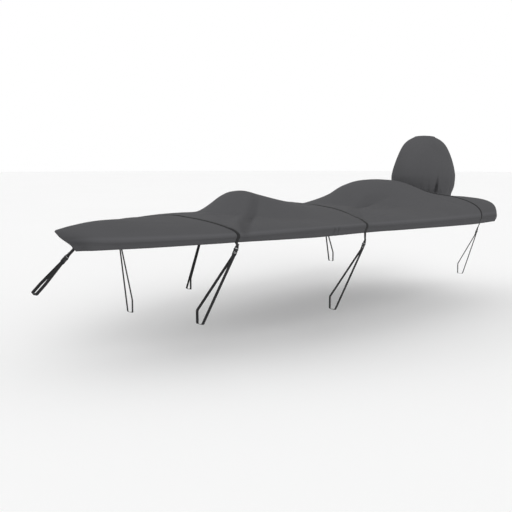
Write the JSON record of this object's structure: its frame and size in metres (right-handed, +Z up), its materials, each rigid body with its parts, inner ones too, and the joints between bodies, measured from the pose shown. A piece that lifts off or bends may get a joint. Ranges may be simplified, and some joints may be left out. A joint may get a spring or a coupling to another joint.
{
  "type": "fitted boat cover",
  "caption": "Fitted trailering cover of charcoal cloth drawn tight over a small motor boat, with low peaks, a raised hood for an outboard motor and webbing tie-down straps.",
  "frame": {"origin": "on the underside of the cover's top, on its centre line, 2.60 m aft of the bow tip, where what it is drawn over holds it up", "axes": "+X aft, +Y to starboard, +Z up"},
  "size_m": [6.072, 2.0296, 1.5124],
  "materials": {
    "cover_cloth": "matt plain-woven coated polyester, charcoal grey",
    "black_webbing": "matt black woven polypropylene webbing",
    "black_buckle": "satin black moulded acetal"
  },
  "bodies": {
    "root": {"cover_body": "cover_cloth", "motor_hood": "cover_cloth", "strap_fore": "black_webbing", "strap_mid": "black_webbing", "strap_aft": "black_webbing", "strap_bow": "black_webbing", "loop_fore_port": "black_webbing", "loop_fore_starboard": "black_webbing", "loop_mid_port": "black_webbing", "loop_mid_starboard": "black_webbing", "loop_aft_port": "black_webbing", "loop_aft_starboard": "black_webbing", "loop_bow": "black_webbing", "buckle_fore_port": "black_buckle", "buckle_fore_starboard": "black_buckle", "buckle_mid_port": "black_buckle", "buckle_mid_starboard": "black_buckle", "buckle_aft_port": "black_buckle", "buckle_aft_starboard": "black_buckle", "buckle_bow": "black_buckle"}
  },
  "joints": []
}
